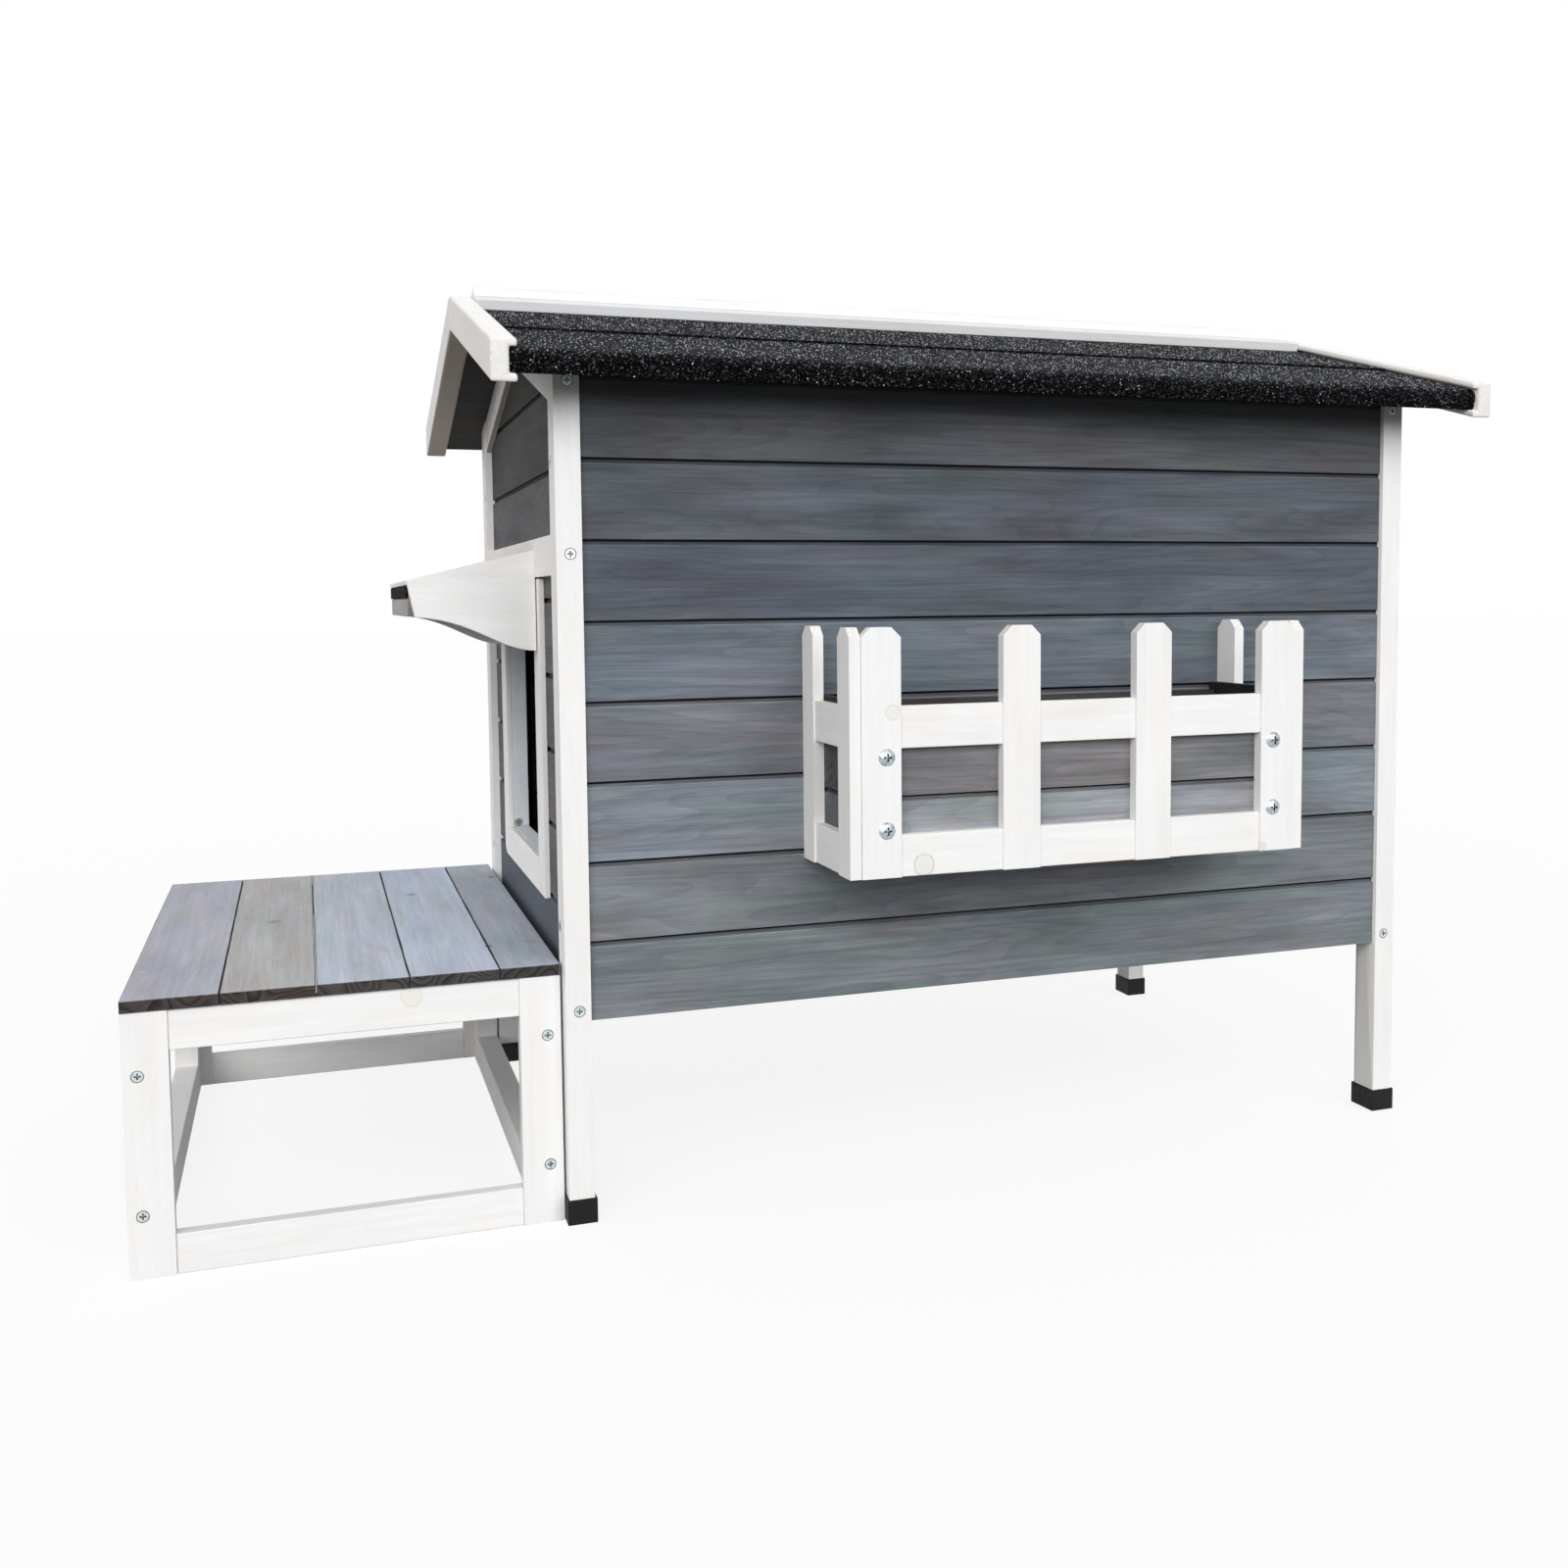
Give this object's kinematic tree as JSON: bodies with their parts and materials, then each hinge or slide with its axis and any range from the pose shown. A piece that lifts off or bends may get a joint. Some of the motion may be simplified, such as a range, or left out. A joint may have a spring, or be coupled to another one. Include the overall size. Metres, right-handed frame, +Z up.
{
  "type": "elevated cat house",
  "caption": "Elevated wooden cat house with a hinged felt roof, door awning, picket flower box and a separate step stool.",
  "frame": {"origin": "on the ground, under the middle of the whole object's box", "axes": "+X along the long walls, away from the door and the step; the front wall with the flower box faces -Y; +Z up"},
  "size_m": [1.3796, 0.7534, 0.9182],
  "materials": {
    "white_wood": "white stain on planed softwood",
    "grey_boards": "grey stain on planed softwood",
    "dark_boards": "dark grey stain on planed softwood",
    "step_planks": "thin grey stain on planed softwood",
    "raw_wood": "planed softwood",
    "roofing_felt": "mineral granules on bitumen felt",
    "black_rubber": "matt moulded rubber",
    "zinc_steel": "bright zinc plating"
  },
  "bodies": {
    "house": {"post_front_left": "white_wood", "post_front_right": "white_wood", "post_back_left": "white_wood", "post_back_right": "white_wood", "rubber_feet": "black_rubber", "front_wall_boards": "grey_boards", "back_wall_boards": "grey_boards", "corner_battens": "raw_wood", "wall_top_rails": "raw_wood", "floor_bearers": "raw_wood", "floor_panel": "raw_wood", "door_gable_kick_board": "dark_boards", "door_gable_boards": "grey_boards", "door_gable_cross_rail": "white_wood", "door_gable_top_boards": "grey_boards", "door_gable_rafters": "white_wood", "right_gable_boards": "grey_boards", "right_gable_rafters": "white_wood", "door_stile_front": "white_wood", "door_stile_back": "white_wood", "door_head": "white_wood", "door_sill": "white_wood", "door_jamb_liner": "white_wood", "awning_bracket_front": "white_wood", "awning_bracket_back": "white_wood", "awning_board": "grey_boards", "awning_felt": "roofing_felt", "awning_fascia": "grey_boards", "roof_hinge_fixed_leaves": "zinc_steel", "roof_hinge_pins": "zinc_steel", "roof_hinge_wall_screws": "zinc_steel", "step_planks": "step_planks", "step_side_legs": "white_wood", "step_end_stiles": "white_wood", "step_rails": "white_wood", "flower_box_pickets": "white_wood", "flower_box_rails": "white_wood", "flower_box_trough_boards": "dark_boards", "flower_box_floor": "dark_boards", "house_screws": "zinc_steel", "step_screws": "zinc_steel", "flower_box_screws": "zinc_steel"},
    "roof_lid": {"roof_panel_front": "dark_boards", "roof_panel_back": "dark_boards", "roof_felt_front_lower": "roofing_felt", "roof_felt_front_upper": "roofing_felt", "roof_felt_back_lower": "roofing_felt", "roof_felt_back_upper": "roofing_felt", "bargeboard_left_front": "white_wood", "bargeboard_left_back": "white_wood", "bargeboard_right_front": "white_wood", "bargeboard_right_back": "white_wood", "ridge_board_front": "white_wood", "ridge_board_back": "white_wood", "roof_hinge_moving_leaves": "zinc_steel", "roof_hinge_roof_screws": "zinc_steel", "roof_stay_block": "white_wood", "roof_stay_screw": "zinc_steel"},
    "roof_stay": {"roof_stay_arm": "zinc_steel"}
  },
  "joints": [
    {"name": "roof_open", "type": "hinge", "parent": "house", "child": "roof_lid", "pos_m": [0.1588, 0.31275, 0.79381], "axis": [-1, 0, 0], "range_deg": [0, 65]},
    {"name": "roof_stay_swing", "type": "hinge", "parent": "roof_lid", "child": "roof_stay", "pos_m": [0.5783, -0.10225, 0.82638], "axis": [1, 0, 0], "range_deg": [-10, 85]}
  ]
}
